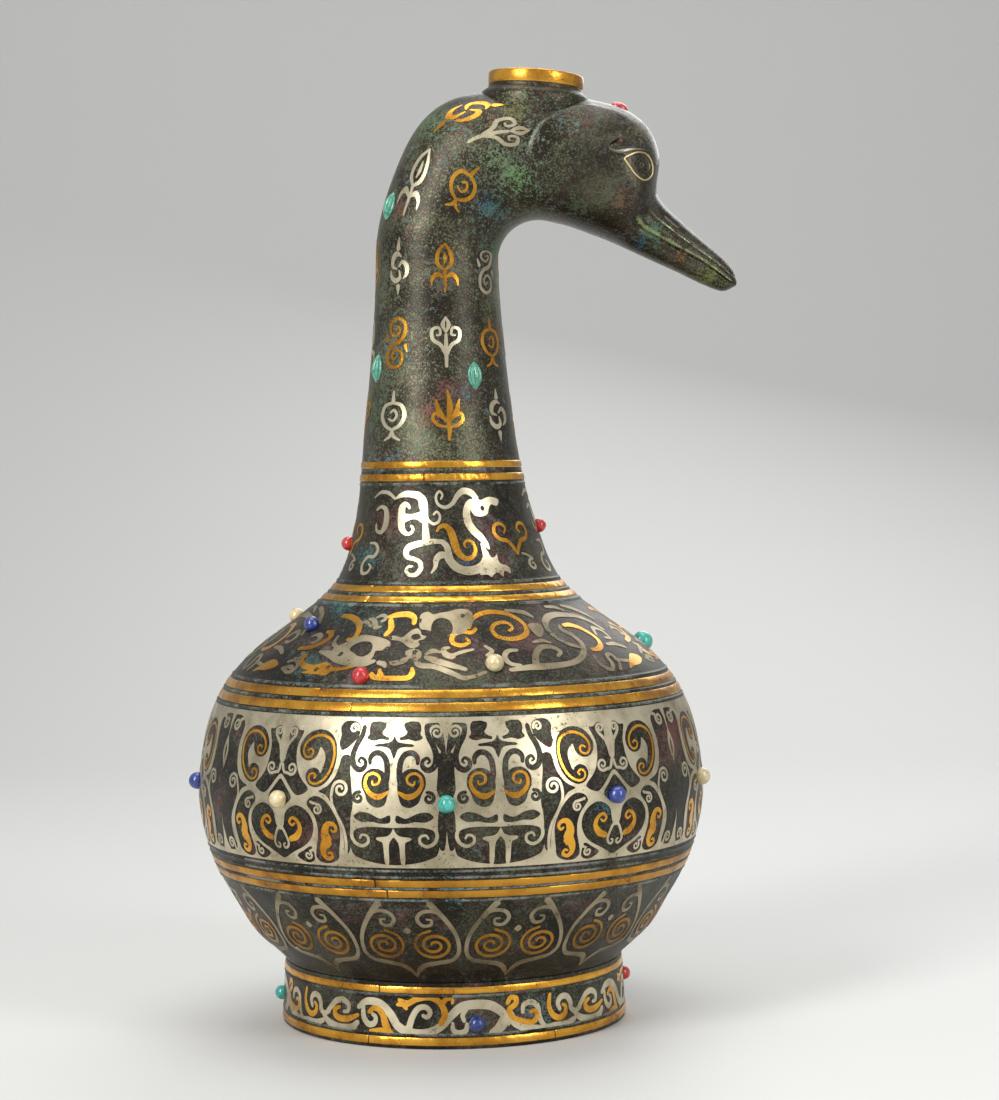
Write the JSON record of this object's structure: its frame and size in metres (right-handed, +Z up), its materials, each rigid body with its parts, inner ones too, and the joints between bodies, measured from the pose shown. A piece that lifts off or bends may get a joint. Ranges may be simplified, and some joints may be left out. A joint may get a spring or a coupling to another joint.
{
  "type": "bronze vase",
  "caption": "Round-bellied bronze bottle vase on a ring foot, its tall neck bending over into a goose head, with a short round mouth on the bend.",
  "frame": {"origin": "on the surface the vase stands on, under the middle of its overall box; the axis of the foot and belly is at X = -5.2 mm, Y = 0", "axes": "+Z up, +X towards the goose's bill, -Y towards the side the picture shows"},
  "size_m": [0.1963, 0.1834, 0.336],
  "materials": {
    "dark_bronze": "dark brown-black cast bronze, satin, with green and red patina in the hollows",
    "patinated_bronze": "mottled green and blue-green patina over dark cast bronze",
    "gold_inlay": "burnished gold inlay strip, worn, dark at its edges",
    "silver_inlay": "tarnished warm silver inlay, finely scratched",
    "turquoise": "polished opaque turquoise with dark veins",
    "coral": "polished opaque red coral",
    "lapis": "polished opaque blue stone",
    "cream_stone": "polished cream-yellow stone with brown pits"
  },
  "bodies": {
    "root": {"foot_ring": "dark_bronze", "belly_shell": "dark_bronze", "neck_tube": "patinated_bronze", "goose_head": "dark_bronze", "mouth_collar": "patinated_bronze", "gold_foot_lower": "gold_inlay", "gold_foot_upper": "gold_inlay", "gold_belly_lower": "gold_inlay", "gold_belly_upper": "gold_inlay", "gold_shoulder_lower": "gold_inlay", "gold_shoulder_upper": "gold_inlay", "gold_neck_base_lower": "gold_inlay", "gold_neck_base_upper": "gold_inlay", "gold_neck_ring_lower": "gold_inlay", "gold_rim": "gold_inlay", "silver_belly_band": "silver_inlay", "gold_neck_ring_upper": "gold_inlay", "bead_belly_front": "turquoise", "bead_belly_front_left": "cream_stone", "bead_belly_front_right": "lapis", "bead_belly_left": "lapis", "bead_belly_right": "cream_stone", "bead_belly_back_left": "turquoise", "bead_belly_back_right": "turquoise", "bead_belly_back_cream": "cream_stone", "bead_belly_back_lapis": "lapis", "bead_shoulder_coral": "coral", "bead_shoulder_cream": "cream_stone", "bead_shoulder_lapis": "lapis", "bead_shoulder_left_cream": "cream_stone", "bead_shoulder_turquoise": "turquoise", "bead_shoulder_back_coral": "coral", "bead_shoulder_back_turquoise": "turquoise", "bead_neck_left": "coral", "bead_neck_right": "coral", "bead_foot_left": "turquoise", "bead_foot_front": "lapis", "bead_foot_right": "coral", "bead_foot_back": "turquoise", "cabochon_upper_front": "turquoise", "cabochon_upper_back": "turquoise", "cabochon_lower_front_left": "turquoise", "cabochon_lower_front_right": "turquoise", "cabochon_lower_back_left": "turquoise", "cabochon_lower_back_right": "turquoise", "crown_coral": "coral", "eye_wire_front": "gold_inlay", "eye_wire_back": "gold_inlay", "pupil_front": "dark_bronze", "pupil_back": "dark_bronze"}
  },
  "joints": []
}
